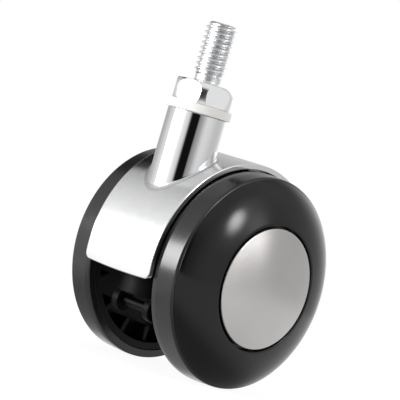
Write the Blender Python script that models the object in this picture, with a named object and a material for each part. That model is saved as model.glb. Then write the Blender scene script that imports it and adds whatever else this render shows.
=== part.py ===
"""Hooded twin-wheel furniture caster with a threaded stem, built at real size in metres.

Frame: +Z up along the stem, Y along the wheel axle, the hood's front edge towards -X.
The origin lies on the floor straight under the axle. Shapes are drawn in millimetres, and
finish() brings each piece to metres.
"""

import math

import bmesh
import bpy
from mathutils import Matrix, Vector

MM = 0.001

# Wheels, measured from the axle (radii) and from the caster's middle plane (U)
WHEEL_R = 32.5
TREAD_U0, TREAD_U1 = 13.67, 22.2
TREAD_INNER_R, TREAD_TAPER = 30.05, 0.3
RIM_R, RIM_INNER_R = 30.0, 27.6
WEB_U0, WEB_U1 = 20.0, 21.6
HUB_R, HUB_BORE_R, HUB_U0, HUB_U1 = 5.5, 4.03, 14.0, 22.4
GUSSET_COUNT, GUSSET_FIRST_DEG, GUSSET_THICK = 16, 3.0, 1.6
GUSSET_R0, GUSSET_U0 = 22.8, 15.4
DOME_R, DOME_A, DOME_B, DOME_U = 31.55, 33.5, 10.155, 18.9
POCKET_R, POCKET_U = 19.05, 25.3
CAP_R, CAP_EDGE_U, CAP_CROWN_U = 18.3, 27.35, 29.35
BUSH_BORE_R, BUSH_R = 3.07, 4.0

# Axle
AXLE_Z = 32.5
AXLE_R, AXLE_HALF = 3.0, 24.6

# Hood, an arch about the axle with the stem's neck standing on it
HOOD_R, HOOD_WALL, HOOD_HALF = 34.6, 1.7, 13.8
HOOD_DROP = 6.0
HOOD_CORNER = 1.8
HOOD_EDGE = 0.35
NECK_R, NECK_BORE_R, NECK_TOP = 8.92, 7.4, 76.3
NECK_FILLET = 0.9
POST_X, POST_Y, POST_R, POST_Z0 = 10.0, 8.5, 2.6, 53.3
PILOT_R, PILOT_TOP = 1.3, 61.5

# Stem, turning about the swivel axis
STEM_X = -19.43
THREAD_R, THREAD_ROOT_R, PITCH = 4.7625, 3.79, 1.5875
THREAD_Z0, STUD_TOP = 87.9, 103.7
HEX_FLATS, HEX_Z0, HEX_Z1, HEX_TURN_DEG = 17.3, 79.2, 85.5, -15.0
HEX_WAIST_R, HEX_END_R = 9.68, 8.95
WASHER_R, WASHER_BORE_R, WASHER_Z0, WASHER_Z1 = 9.75, 4.95, 76.4, 79.1
SHANK_R, SHANK_TIP = 4.75, 39.8
GROOVE_R, GROOVE_Z0, GROOVE_Z1 = 4.3, 46.1, 47.9
RING_R, RING_WIRE_R, RING_GAP_DEG = 5.05, 0.6, 50.0

# Core, the black moulding under the hood
CORE_HALF = 4.0
TOWER_R, TOWER_TOP = 7.3, 75.9
POT_R, POT_Z0, POT_Z1 = 8.2, 20.2, 47.0
SOCKET_R, SOCKET_FLOOR = 5.85, 37.5
LINER_BORE_R, LINER_R, LINER_Z0, LINER_Z1 = 4.82, 5.8, 48.1, 75.9
BOSS_R, BOSS_HALF = 6.5, 12.8
CROSS_X, CROSS_Z, EAR_R, EAR_Y0, EAR_Y1 = -21.0, 17.3, 3.6, 5.4, 8.0
CROSS_PIN_R, CROSS_PIN_HALF = 1.5, 8.5
LUG_X0, LUG_X1, LUG_HALF, LUG_Z0, LUG_Z1 = 4.0, 16.0, 12.4, 50.5, 53.0

AXLE_AT = (0.0, 0.0, AXLE_Z)
SWIVEL_AT = (STEM_X, 0.0, AXLE_Z)


def clear_scene():
    for obj in list(bpy.data.objects):
        bpy.data.objects.remove(obj, do_unlink=True)


def principled(name, color, metallic, roughness):
    mat = bpy.data.materials.new(name)
    mat.use_nodes = True
    shader = mat.node_tree.nodes["Principled BSDF"]
    shader.inputs["Base Color"].default_value = (*color, 1.0)
    shader.inputs["Metallic"].default_value = metallic
    shader.inputs["Roughness"].default_value = roughness
    mat.diffuse_color = (*color, 1.0)
    return mat


def add_object(name, verts, faces, origin=(0.0, 0.0, 0.0)):
    """A closed mesh from world points in millimetres, with its origin at a world point."""
    mesh = bpy.data.meshes.new(name)
    at = Vector(origin)
    mesh.from_pydata([Vector(v) - at for v in verts], [], faces)
    bm = bmesh.new()
    bm.from_mesh(mesh)
    bmesh.ops.recalc_face_normals(bm, faces=bm.faces)
    bm.to_mesh(mesh)
    bm.free()
    obj = bpy.data.objects.new(name, mesh)
    obj.location = at
    bpy.context.scene.collection.objects.link(obj)
    return obj


def lathe(name, profile, axis, origin, segments, side=1.0, turn=0.0):
    """Revolves a loop of (radius, distance) points about Z or Y through the origin point.

    The distance is the world height for Z, and side times world Y for Y.
    """
    verts, rings = [], []
    for radius, distance in profile:
        ring = []
        for i in range(1 if radius == 0 else segments):
            angle = 2 * math.pi * i / segments + turn
            a, b = radius * math.cos(angle), radius * math.sin(angle)
            if axis == "Z":
                verts.append((origin[0] + a, origin[1] + b, distance))
            else:
                verts.append((origin[0] + a, side * distance, origin[2] + b))
            ring.append(len(verts) - 1)
        rings.append(ring)
    faces = []
    for k, low in enumerate(rings):
        high = rings[(k + 1) % len(rings)]
        if len(low) == 1 and len(high) == 1:
            continue
        for i in range(segments):
            j = (i + 1) % segments
            quad = [low[i % len(low)], low[j % len(low)], high[j % len(high)], high[i % len(high)]]
            faces.append([v for n, v in enumerate(quad) if v not in quad[:n]])
    return add_object(name, verts, faces, origin)


def box(name, x, y, z, origin=(0.0, 0.0, 0.0), turn=None):
    """A box between three pairs of limits. A turn is a matrix about the origin point."""
    verts = [Vector((a, b, c)) for a in x for b in y for c in z]
    if turn:
        verts = [turn @ (v - Vector(origin)) + Vector(origin) for v in verts]
    faces = [(0, 1, 3, 2), (4, 6, 7, 5), (0, 4, 5, 1), (2, 3, 7, 6), (0, 2, 6, 4), (1, 5, 7, 3)]
    return add_object(name, verts, faces, origin)


def cylinder(name, center, axis, radius, low, high, segments):
    """A plain cylinder along Z or Y between two world distances."""
    return lathe(name, [(0, low), (radius, low), (radius, high), (0, high)], axis, center, segments)


def combine(obj, other, operation):
    """Joins, cuts or trims the object with another one, which is used up."""
    modifier = obj.modifiers.new(operation.lower(), "BOOLEAN")
    modifier.operation = operation
    modifier.solver = "EXACT"
    modifier.object = other
    bpy.context.view_layer.update()
    graph = bpy.context.evaluated_depsgraph_get()
    result = bpy.data.meshes.new_from_object(obj.evaluated_get(graph))
    obj.modifiers.clear()
    old = obj.data
    obj.data = result
    result.name = obj.name
    bpy.data.meshes.remove(old)
    bpy.data.objects.remove(other, do_unlink=True)
    return obj


def finish(obj, color, metallic, roughness, sharp_deg=32.0):
    """Brings the piece to metres and gives it its material and smooth shading with crisp edges."""
    obj.data.transform(Matrix.Scale(MM, 4))
    obj.location = obj.location * MM
    obj.data.materials.clear()
    obj.data.materials.append(principled(obj.name, color, metallic, roughness))
    obj.data.polygons.foreach_set("use_smooth", [True] * len(obj.data.polygons))
    obj.data.set_sharp_from_angle(angle=math.radians(sharp_deg))
    return obj


# ---- wheels -------------------------------------------------------------------------


def dome_u(radius):
    """Height of the cover's domed face at a radius."""
    return DOME_U + DOME_B * math.sqrt(1 - (radius / DOME_A) ** 2)


def make_tread(name, side):
    outer_edge = WHEEL_R - TREAD_TAPER
    loop = [
        (TREAD_INNER_R, TREAD_U0),
        (WHEEL_R - 0.35, TREAD_U0),
        (WHEEL_R, TREAD_U0 + 0.35),
        (outer_edge, TREAD_U1 - 0.7),
        (outer_edge - 0.2, TREAD_U1 - 0.2),
        (outer_edge - 0.7, TREAD_U1),
        (TREAD_INNER_R, TREAD_U1),
    ]
    obj = lathe(name, loop, "Y", AXLE_AT, 48, side)
    return finish(obj, (0.035, 0.035, 0.038), 0.0, 0.45)


def make_wheel_core(name, side):
    loop = [
        (HUB_BORE_R, HUB_U0),
        (HUB_R, HUB_U0),
        (HUB_R, WEB_U0),
        (RIM_INNER_R, WEB_U0),
        (RIM_INNER_R, TREAD_U0 + 0.25),
        (RIM_R, TREAD_U0 + 0.25),
        (RIM_R, WEB_U1),
        (HUB_R, WEB_U1),
        (HUB_R, HUB_U1),
        (HUB_BORE_R, HUB_U1),
    ]
    obj = lathe(name, loop, "Y", AXLE_AT, 48, side)
    for i in range(GUSSET_COUNT):
        angle = math.radians(GUSSET_FIRST_DEG + 360.0 * i / GUSSET_COUNT)
        turn = Matrix.Rotation(-angle, 3, "Y")
        ends = sorted((side * GUSSET_U0, side * (WEB_U0 + 0.8)))
        half = GUSSET_THICK / 2
        limits = (GUSSET_R0, RIM_INNER_R + 0.8), ends, (AXLE_Z - half, AXLE_Z + half)
        combine(obj, box("gusset", *limits, AXLE_AT, turn), "UNION")
    return finish(obj, (0.02, 0.02, 0.022), 0.0, 0.5)


def make_cover(name, side):
    steps = 6
    outer = [POCKET_R + 0.4 + (DOME_R - POCKET_R - 0.4) * i / steps for i in range(steps + 1)]
    loop = [(r, dome_u(r)) for r in outer]
    loop += [
        (DOME_R, TREAD_U1 + 0.1),
        (RIM_R - 0.1, TREAD_U1 + 0.1),
        (RIM_R - 0.1, WEB_U1 + 0.1),
        (28.0, WEB_U1 + 0.1),
        (28.0, dome_u(28.0) - 1.8),
        (20.0, dome_u(20.0) - 1.8),
        (17.5, POCKET_U - 1.7),
        (6.5, POCKET_U - 1.7),
        (6.5, POCKET_U),
        (POCKET_R, POCKET_U),
        (POCKET_R, dome_u(POCKET_R) - 0.4),
    ]
    obj = lathe(name, loop, "Y", AXLE_AT, 48, side)
    return finish(obj, (0.012, 0.012, 0.013), 0.0, 0.15)


def make_hub_cap(name, side):
    loop = [
        (0, CAP_CROWN_U),
        (7.0, CAP_CROWN_U - 0.22),
        (12.5, CAP_CROWN_U - 0.7),
        (CAP_R - 0.75, CAP_EDGE_U + 0.6),
        (CAP_R - 0.2, CAP_EDGE_U + 0.3),
        (CAP_R, CAP_EDGE_U - 0.1),
        (CAP_R, POCKET_U + 0.2),
        (6.2, POCKET_U + 0.2),
        (6.2, POCKET_U - 1.5),
        (5.3, POCKET_U - 1.5),
        (5.3, POCKET_U + 1.0),
        (0, POCKET_U + 1.0),
    ]
    obj = lathe(name, loop, "Y", AXLE_AT, 48, side)
    return finish(obj, (0.62, 0.61, 0.60), 1.0, 0.28)


def make_bush(name, side):
    loop = [
        (BUSH_BORE_R, HUB_U0 + 0.2),
        (BUSH_R, HUB_U0 + 0.2),
        (BUSH_R, HUB_U1 - 0.1),
        (BUSH_BORE_R, HUB_U1 - 0.1),
    ]
    return finish(lathe(name, loop, "Y", AXLE_AT, 24, side), (0.45, 0.36, 0.2), 1.0, 0.35)


# ---- axle ---------------------------------------------------------------------------


def make_axle():
    loop = [
        (0, -AXLE_HALF),
        (AXLE_R - 0.5, -AXLE_HALF),
        (AXLE_R, -AXLE_HALF + 0.5),
        (AXLE_R, AXLE_HALF - 0.5),
        (AXLE_R - 0.5, AXLE_HALF),
        (0, AXLE_HALF),
    ]
    return finish(lathe("axle_pin", loop, "Y", AXLE_AT, 24), (0.5, 0.5, 0.5), 1.0, 0.3)


def make_spacer(name, side):
    loop = [(3.1, BOSS_HALF + 0.15), (6.2, BOSS_HALF + 0.15), (6.2, HUB_U0 - 0.15), (3.1, HUB_U0 - 0.15)]
    return finish(lathe(name, loop, "Y", AXLE_AT, 24, side), (0.7, 0.7, 0.68), 0.0, 0.4)


def make_push_nut(name, side):
    """A dished spring-steel disc pressed on the axle's end to hold the wheel."""
    low, thick = HUB_U1 + 0.15, 0.45
    under = [(3.05, low + 0.55), (4.4, low), (5.6, low)]
    loop = under + [(5.6, low + thick), (4.5, low + thick), (3.05, low + 0.55 + thick)]
    return finish(lathe(name, loop, "Y", AXLE_AT, 24, side), (0.35, 0.35, 0.37), 1.0, 0.35)


# ---- hood ---------------------------------------------------------------------------


def arch_point(radius, angle, y):
    return radius * math.cos(angle), y, AXLE_Z + radius * math.sin(angle)


def hood_stations():
    """Arc angles with the half width at each, narrowing round the arch's four corners."""
    end = math.asin(HOOD_DROP / HOOD_R)
    corner = [(t, HOOD_CORNER * (1 - math.sin(math.acos(1 - t)))) for t in (0.0, 0.06, 0.25, 0.55, 1.0)]
    near = [(-end + t * HOOD_CORNER / HOOD_R, HOOD_HALF - cut) for t, cut in corner]
    far = [(math.pi - angle, half) for angle, half in reversed(near)]
    low, high, steps = near[-1][0], far[0][0], 44
    middle = [(low + (high - low) * i / steps, HOOD_HALF) for i in range(1, steps)]
    return near + middle + far


def make_arch():
    inner, edge = HOOD_R - HOOD_WALL, HOOD_EDGE
    verts, faces, count = [], [], 10
    for angle, half in hood_stations():
        section = [
            (inner, -half + 0.15), (inner + 0.15, -half), (HOOD_R - edge, -half),
            (HOOD_R - 0.29 * edge, -half + 0.29 * edge), (HOOD_R, -half + edge),
            (HOOD_R, half - edge), (HOOD_R - 0.29 * edge, half - 0.29 * edge),
            (HOOD_R - edge, half), (inner + 0.15, half), (inner, half - 0.15),
        ]
        verts += [arch_point(r, angle, y) for r, y in section]
    rows = len(verts) // count
    for k in range(rows - 1):
        for i in range(count):
            j = (i + 1) % count
            faces.append((k * count + i, k * count + j, (k + 1) * count + j, (k + 1) * count + i))
    faces.append(tuple(range(count)))
    faces.append(tuple(range((rows - 1) * count, rows * count)))
    return add_object("hood_casting", verts, faces, SWIVEL_AT)


def arch_height(radius, angle):
    """World height of the hood's outside at a polar point about the swivel axis."""
    return AXLE_Z + math.sqrt(HOOD_R**2 - (STEM_X + radius * math.cos(angle)) ** 2)


def make_neck():
    """The neck, flaring into the arch along a small fillet. Its foot is sunk in the wall."""
    segments, bend = 48, 5
    columns = []
    for i in range(segments):
        angle = 2 * math.pi * i / segments
        root = arch_height(NECK_R, angle)
        foot = arch_height(NECK_R + NECK_FILLET, angle) - 0.05
        points = [(NECK_R - 0.5, NECK_TOP), (NECK_R - 0.15, NECK_TOP - 0.15), (NECK_R, NECK_TOP - 0.5)]
        for k in range(bend + 1):
            t = k / bend
            radius = NECK_R + NECK_FILLET * t * t
            height = (1 - t) ** 2 * (root + NECK_FILLET) + 2 * t * (1 - t) * root + t * t * foot
            points.append((radius, height))
        points.append((NECK_R + 0.6 * NECK_FILLET, foot - 0.8))
        columns.append([(STEM_X + r * math.cos(angle), r * math.sin(angle), z) for r, z in points])
    count = len(columns[0])
    verts = [p for column in columns for p in column]
    faces = []
    for i in range(segments):
        j = (i + 1) % segments
        for k in range(count - 1):
            faces.append((i * count + k, j * count + k, j * count + k + 1, i * count + k + 1))
    verts += [(STEM_X, 0, NECK_TOP), (STEM_X, 0, arch_height(0, 0) - 1.0)]
    for i in range(segments):
        j = (i + 1) % segments
        faces.append((i * count, j * count, len(verts) - 2))
        faces.append((i * count + count - 1, j * count + count - 1, len(verts) - 1))
    return add_object("neck", verts, faces, SWIVEL_AT)


def make_hood():
    obj = combine(make_arch(), make_neck(), "UNION")
    for y in (-POST_Y, POST_Y):
        post_top = AXLE_Z + math.sqrt((HOOD_R - 0.8) ** 2 - (POST_X + POST_R) ** 2)
        at = (POST_X, y, 0)
        combine(obj, cylinder("post", at, "Z", POST_R, POST_Z0, post_top, 24), "UNION")
        combine(obj, cylinder("pilot", at, "Z", PILOT_R, POST_Z0 - 2, PILOT_TOP, 16), "DIFFERENCE")
    bore = cylinder("bore", SWIVEL_AT, "Z", NECK_BORE_R, AXLE_Z, NECK_TOP + 2, 48)
    combine(obj, bore, "DIFFERENCE")
    return finish(obj, (0.72, 0.72, 0.73), 1.0, 0.18)


# ---- core ---------------------------------------------------------------------------


def core_outline():
    """Side view of the core's middle web: front edge inside the pot, top arc, tail, lower edge."""
    radius = HOOD_R - HOOD_WALL - 0.6
    front_x, tail, steps = -25.0, math.radians(12), 22
    front = math.acos(front_x / radius)
    top = [front + (tail - front) * i / steps for i in range(steps + 1)]
    points = [(front_x, -11.0)]
    points += [(radius * math.cos(a), radius * math.sin(a)) for a in top]
    points += [(26.0, 2.0), (9.0, -7.0), (3.0, -9.0), (-5.0, -9.5), (-13.0, -11.0)]
    return [(x, AXLE_Z + z) for x, z in points]


def add_ear(obj, side):
    """One of the two ears under the pot that hold the cross pin."""
    inner, outer = sorted((side * (EAR_Y0 + 0.3), side * (EAR_Y1 - 0.3)))
    neck = box("neck", (CROSS_X - 2.4, CROSS_X + 2.4), (inner, outer), (CROSS_Z, POT_Z0 + 0.9))
    low, high = sorted((side * EAR_Y0, side * EAR_Y1))
    combine(neck, cylinder("ear", (CROSS_X, 0, CROSS_Z), "Y", EAR_R, low, high, 24), "UNION")
    combine(obj, neck, "UNION")


def make_core():
    outline = core_outline()
    n = len(outline)
    verts = [(x, y, z) for y in (-CORE_HALF, CORE_HALF) for x, z in outline]
    faces = [tuple(range(n)), tuple(range(n, 2 * n))]
    faces += [(i, (i + 1) % n, n + (i + 1) % n, n + i) for i in range(n)]
    obj = add_object("core_body", verts, faces, SWIVEL_AT)
    combine(obj, cylinder("pot", SWIVEL_AT, "Z", POT_R, POT_Z0, POT_Z1, 40), "UNION")
    combine(obj, cylinder("tower", SWIVEL_AT, "Z", TOWER_R, POT_Z1 - 1, TOWER_TOP, 32), "UNION")
    combine(obj, cylinder("boss", AXLE_AT, "Y", BOSS_R, -BOSS_HALF, BOSS_HALF, 24), "UNION")
    for side in (-1, 1):
        add_ear(obj, side)
    lug = box("lug", (LUG_X0, LUG_X1), (-LUG_HALF, LUG_HALF), (LUG_Z0, LUG_Z1))
    combine(obj, lug, "UNION")
    combine(obj, cylinder("socket", SWIVEL_AT, "Z", SOCKET_R, SOCKET_FLOOR, TOWER_TOP + 1, 32), "DIFFERENCE")
    combine(obj, cylinder("bore", AXLE_AT, "Y", AXLE_R + 0.06, -20, 20, 24), "DIFFERENCE")
    cross = (CROSS_X, 0, CROSS_Z)
    combine(obj, cylinder("bore", cross, "Y", CROSS_PIN_R + 0.06, -20, 20, 16), "DIFFERENCE")
    for y in (-POST_Y, POST_Y):
        hole = cylinder("hole", (POST_X, y, 0), "Z", 1.7, LUG_Z0 - 1, LUG_Z1 + 1, 16)
        combine(obj, hole, "DIFFERENCE")
    return finish(obj, (0.018, 0.018, 0.02), 0.0, 0.4)


def make_cross_pin():
    h = CROSS_PIN_HALF
    loop = [(0, -h), (CROSS_PIN_R - 0.3, -h), (CROSS_PIN_R, -h + 0.3)]
    loop += [(CROSS_PIN_R, h - 0.3), (CROSS_PIN_R - 0.3, h), (0, h)]
    obj = lathe("cross_pin", loop, "Y", (CROSS_X, 0, CROSS_Z), 16)
    return finish(obj, (0.05, 0.05, 0.055), 1.0, 0.4)


def make_socket_liner():
    loop = [(LINER_BORE_R, LINER_Z0), (LINER_R, LINER_Z0), (LINER_R, LINER_Z1), (LINER_BORE_R, LINER_Z1)]
    obj = lathe("socket_liner", loop, "Z", SWIVEL_AT, 32)
    return finish(obj, (0.55, 0.55, 0.53), 0.0, 0.45)


def make_thrust_disc():
    low = SOCKET_FLOOR + 0.1
    loop = [(0, low), (5.5, low), (5.7, low + 0.2), (5.7, low + 1.8), (5.5, low + 2.0), (0, low + 2.0)]
    return finish(lathe("thrust_disc", loop, "Z", SWIVEL_AT, 32), (0.4, 0.4, 0.42), 1.0, 0.3)


def make_hood_screw(name, y):
    at = (POST_X, y, 0)
    head = LUG_Z0 - 0.15
    loop = [
        (0, head - 1.9), (1.7, head - 1.75), (2.5, head - 1.1), (2.7, head - 0.4), (2.7, head),
        (1.22, head), (1.22, PILOT_TOP - 1.6), (0.5, PILOT_TOP - 0.5), (0, PILOT_TOP - 0.5),
    ]
    obj = lathe(name, loop, "Z", at, 16)
    for x_half, y_half in ((1.5, 0.32), (0.32, 1.5)):
        limits = (POST_X - x_half, POST_X + x_half), (y - y_half, y + y_half), (head - 3.0, head - 0.95)
        combine(obj, box("recess", *limits), "DIFFERENCE")
    return finish(obj, (0.55, 0.55, 0.57), 1.0, 0.3)


# ---- stem ---------------------------------------------------------------------------


def make_thread():
    """The helical ridge, wound a little past both ends so that an envelope can trim it."""
    segments, turns, base = 18, 12, THREAD_Z0 - 1.8
    root, flank, crest = 0.167, 0.354, 0.125
    profile = [
        (THREAD_ROOT_R, 0.0), (THREAD_ROOT_R, root),
        (THREAD_R, root + flank), (THREAD_R, root + flank + crest),
    ]
    verts, total = [], segments * turns
    for i in range(total + 1):
        angle = 2 * math.pi * i / segments
        for radius, share in profile:
            z = base + PITCH * (share + i / segments)
            verts.append((STEM_X + radius * math.cos(angle), radius * math.sin(angle), z))
    faces = []
    for i in range(total):
        a, b = 4 * i, 4 * (i + 1)
        faces += [(a + k, b + k, b + k + 1, a + k + 1) for k in range(3)]
        if i + 1 + segments <= total:
            faces.append((a + 3, b + 3, b + 4 * segments, a + 4 * segments))
    verts += [(STEM_X, 0, base - 0.5), (STEM_X, 0, base + PITCH * (turns + 1) + 0.5)]
    low = [4 * i for i in range(segments + 1)] + [3, 2, 1]
    high = [4 * i + 3 for i in range(total - segments, total + 1)]
    high += [4 * total + 2, 4 * total + 1, 4 * total]
    for loop, tip in ((low, len(verts) - 2), (high, len(verts) - 1)):
        faces += [(loop[k], loop[(k + 1) % len(loop)], tip) for k in range(len(loop))]
    thread = add_object("thread", verts, faces, SWIVEL_AT)
    envelope = [
        (0, THREAD_Z0 - 0.4), (THREAD_ROOT_R - 0.2, THREAD_Z0 - 0.4), (5.3, THREAD_Z0 + 1.0),
        (5.3, STUD_TOP - 1.6), (THREAD_ROOT_R - 0.1, STUD_TOP), (0, STUD_TOP),
    ]
    return combine(thread, lathe("envelope", envelope, "Z", SWIVEL_AT, 40), "INTERSECT")


def make_hex():
    """The hexagon collar, its corners turned down to a barrel so that each flat looks round."""
    corner = HEX_FLATS / math.sqrt(3)
    loop = [(0, HEX_Z0), (corner, HEX_Z0), (corner, HEX_Z1), (0, HEX_Z1)]
    prism = lathe("hex", loop, "Z", SWIVEL_AT, 6, turn=math.radians(HEX_TURN_DEG))
    middle, half = (HEX_Z0 + HEX_Z1) / 2, (HEX_Z1 - HEX_Z0) / 2
    shares = [k / 3 for k in range(-4, 5)]
    barrel = [(HEX_WAIST_R - (HEX_WAIST_R - HEX_END_R) * t * t, middle + half * t) for t in shares]
    barrel = [(0, barrel[0][1])] + barrel + [(0, barrel[-1][1])]
    return combine(prism, lathe("barrel", barrel, "Z", SWIVEL_AT, 48, turn=math.radians(3)), "INTERSECT")


def make_stem():
    core = THREAD_ROOT_R + 0.03
    loop = [
        (0, SHANK_TIP), (2.2, SHANK_TIP), (3.6, SHANK_TIP + 0.7), (SHANK_R, SHANK_TIP + 3.2),
        (SHANK_R, GROOVE_Z0), (GROOVE_R, GROOVE_Z0), (GROOVE_R, GROOVE_Z1), (SHANK_R, GROOVE_Z1),
        (SHANK_R, HEX_Z1 - 1.0), (core + 0.75, HEX_Z1 - 0.9), (core + 0.75, HEX_Z1 + 0.02),
        (core + 0.22, HEX_Z1 + 0.25), (core, HEX_Z1 + 0.8), (core, STUD_TOP - 0.35),
        (core - 0.3, STUD_TOP - 0.05), (0, STUD_TOP - 0.05),
    ]
    obj = lathe("threaded_stem", loop, "Z", SWIVEL_AT, 32)
    combine(obj, make_hex(), "UNION")
    combine(obj, make_thread(), "UNION")
    return finish(obj, (0.66, 0.66, 0.67), 1.0, 0.22)


def make_washer():
    loop = [
        (WASHER_BORE_R, WASHER_Z0), (WASHER_R - 0.35, WASHER_Z0), (WASHER_R, WASHER_Z0 + 0.35),
        (WASHER_R, WASHER_Z1 - 0.35), (WASHER_R - 0.35, WASHER_Z1), (WASHER_BORE_R, WASHER_Z1),
    ]
    return finish(lathe("neck_washer", loop, "Z", SWIVEL_AT, 48), (0.82, 0.82, 0.8), 0.0, 0.45)


def make_snap_ring():
    """An open wire ring lying in the stem's groove."""
    height = (GROOVE_Z0 + GROOVE_Z1) / 2
    steps, around = 22, 8
    verts, faces = [], []
    for i in range(steps + 1):
        angle = math.radians(RING_GAP_DEG / 2 + (360 - RING_GAP_DEG) * i / steps)
        for k in range(around):
            turn = 2 * math.pi * k / around
            r = RING_R + RING_WIRE_R * math.cos(turn)
            z = height + RING_WIRE_R * math.sin(turn)
            verts.append((STEM_X + r * math.cos(angle), r * math.sin(angle), z))
    for i in range(steps):
        for k in range(around):
            j = (k + 1) % around
            a, b = i * around, (i + 1) * around
            faces.append((a + k, a + j, b + j, b + k))
    faces += [tuple(range(around)), tuple(range(steps * around, (steps + 1) * around))]
    return finish(add_object("snap_ring", verts, faces, SWIVEL_AT), (0.4, 0.4, 0.42), 1.0, 0.3)


def main():
    clear_scene()
    make_stem()
    make_washer()
    make_snap_ring()
    make_hood()
    make_core()
    make_socket_liner()
    make_thrust_disc()
    make_cross_pin()
    make_axle()
    for label, side in (("near", -1.0), ("far", 1.0)):
        make_hood_screw(f"hood_screw_{label}", side * POST_Y)
        make_spacer(f"hub_spacer_{label}", side)
        make_push_nut(f"push_nut_{label}", side)
        make_tread(f"wheel_{label}_tread", side)
        make_wheel_core(f"wheel_{label}_core", side)
        make_cover(f"wheel_{label}_cover", side)
        make_hub_cap(f"wheel_{label}_hub_cap", side)
        make_bush(f"wheel_{label}_bush", side)


main()
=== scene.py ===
"""Looks of a hooded twin-wheel furniture caster: fine meshes, procedural finishes, studio and camera.

Shapes are drawn in millimetres in the frame's own axes, and piece() brings each one to metres.
U is the distance from the caster's middle plane along the wheel axle.
"""

import math

import bmesh
import bpy
from mathutils import Matrix, Vector


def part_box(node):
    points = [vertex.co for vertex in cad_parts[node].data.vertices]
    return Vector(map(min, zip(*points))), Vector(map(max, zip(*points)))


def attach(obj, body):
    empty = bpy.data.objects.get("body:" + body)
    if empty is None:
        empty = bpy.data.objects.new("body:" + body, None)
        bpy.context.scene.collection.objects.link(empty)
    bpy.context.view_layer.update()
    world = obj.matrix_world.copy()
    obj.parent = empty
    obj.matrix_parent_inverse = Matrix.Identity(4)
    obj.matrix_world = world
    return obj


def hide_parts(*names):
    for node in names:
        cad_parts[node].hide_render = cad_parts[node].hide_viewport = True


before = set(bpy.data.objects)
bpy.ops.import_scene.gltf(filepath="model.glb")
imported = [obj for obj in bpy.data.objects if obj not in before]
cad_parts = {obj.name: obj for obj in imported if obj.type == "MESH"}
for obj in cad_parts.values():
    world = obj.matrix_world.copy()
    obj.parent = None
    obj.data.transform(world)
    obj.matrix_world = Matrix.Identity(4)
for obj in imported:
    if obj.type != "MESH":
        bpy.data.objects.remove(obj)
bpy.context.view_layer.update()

MM = 0.001


def limits(node):
    """A frame node's lowest and highest corner, in millimetres."""
    low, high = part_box(node)
    return low / MM, high / MM


# ---- sizes read from the frame ----

TREAD_LOW, TREAD_HIGH = limits("wheel_near_tread")
WHEEL_R = (TREAD_HIGH.z - TREAD_LOW.z) / 2
AXLE_Z = (TREAD_HIGH.z + TREAD_LOW.z) / 2
TREAD_U0, TREAD_U1 = -TREAD_HIGH.y, -TREAD_LOW.y

CORE_LOW, CORE_HIGH = limits("wheel_near_core")
RIM_R = (CORE_HIGH.z - CORE_LOW.z) / 2
CORE_U0, CORE_U1 = -CORE_HIGH.y, -CORE_LOW.y

COVER_LOW, COVER_HIGH = limits("wheel_near_cover")
COVER_R = (COVER_HIGH.z - COVER_LOW.z) / 2

CAP_LOW, CAP_HIGH = limits("wheel_near_hub_cap")
CAP_R = (CAP_HIGH.z - CAP_LOW.z) / 2
CAP_CROWN_U = -CAP_LOW.y + 1.35

HOOD_LOW, HOOD_HIGH = limits("hood_casting")
HOOD_R = (HOOD_HIGH.x - HOOD_LOW.x) / 2
HOOD_HALF = HOOD_HIGH.y
NECK_TOP = HOOD_HIGH.z + 0.06
HOOD_END = math.asin((AXLE_Z - HOOD_LOW.z) / HOOD_R)

WASHER_LOW, WASHER_HIGH = limits("neck_washer")
STEM_X = (WASHER_LOW.x + WASHER_HIGH.x) / 2
WASHER_R = (WASHER_HIGH.x - WASHER_LOW.x) / 2

STEM_LOW, STEM_HIGH = limits("threaded_stem")
LINER_TOP = limits("socket_liner")[1].z
CROSS_LOW, CROSS_HIGH = limits("cross_pin")
CROSS_X, CROSS_Z = (CROSS_LOW.x + CROSS_HIGH.x) / 2, (CROSS_LOW.z + CROSS_HIGH.z) / 2
AXLE_LOW, AXLE_HIGH = limits("axle_pin")
PUSH_HIGH = limits("push_nut_far")[1]
SPACER_BORE_R = 3.1
SCREW_LOW, SCREW_HIGH = limits("hood_screw_far")
SCREW_X, SCREW_Y = (SCREW_LOW.x + SCREW_HIGH.x) / 2, (SCREW_LOW.y + SCREW_HIGH.y) / 2

AXLE_AT = (0.0, 0.0, AXLE_Z)
SWIVEL_AT = (STEM_X, 0.0, 0.0)
CROSS_AT = (CROSS_X, 0.0, CROSS_Z)

# ---- sizes of the finer shapes ----

AROUND = 192

TREAD_INNER_R, TREAD_TAPER, TREAD_EDGE = RIM_R + 0.05, 0.3, 0.9
SHOULDER_WIDE, SHOULDER_DROP = 1.8, 0.1
RIM_WALL = 2.4
WEB_U0, WEB_U1 = 20.0, 21.6
HUB_R, HUB_BORE_R = 5.5, 4.03
GUSSET_COUNT, GUSSET_FIRST_DEG, GUSSET_THICK = 16, 3.0, 1.6
GUSSET_R0, GUSSET_U0 = 22.8, 15.4

DOME_A, DOME_B, DOME_U = 33.5, 11.9, 18.4
POCKET_R, POCKET_U = CAP_R + 0.75, 25.3
COVER_WALL, COVER_POCKET_WALL, COVER_EYE_R = 1.8, 1.7, 6.5
CAP_EDGE_U, CAP_DROP = CAP_CROWN_U - 2.5, 2.25
CAP_SPIGOT_R, CAP_SPIGOT_BORE_R = 6.2, 5.3

HOOD_WALL, HOOD_CORNER, HOOD_EDGE, HOOD_INNER_EDGE = 1.7, 1.8, 0.35, 0.15
HOOD_BOW, HOOD_BOW_DEG = 0.5, 25.0
NECK_R, NECK_BORE_R, NECK_FILLET, NECK_EDGE = 8.92, 7.4, 0.9, 0.2
POST_R, POST_Z0, PILOT_R, PILOT_TOP = 2.6, 53.3, 1.3, 61.5

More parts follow.
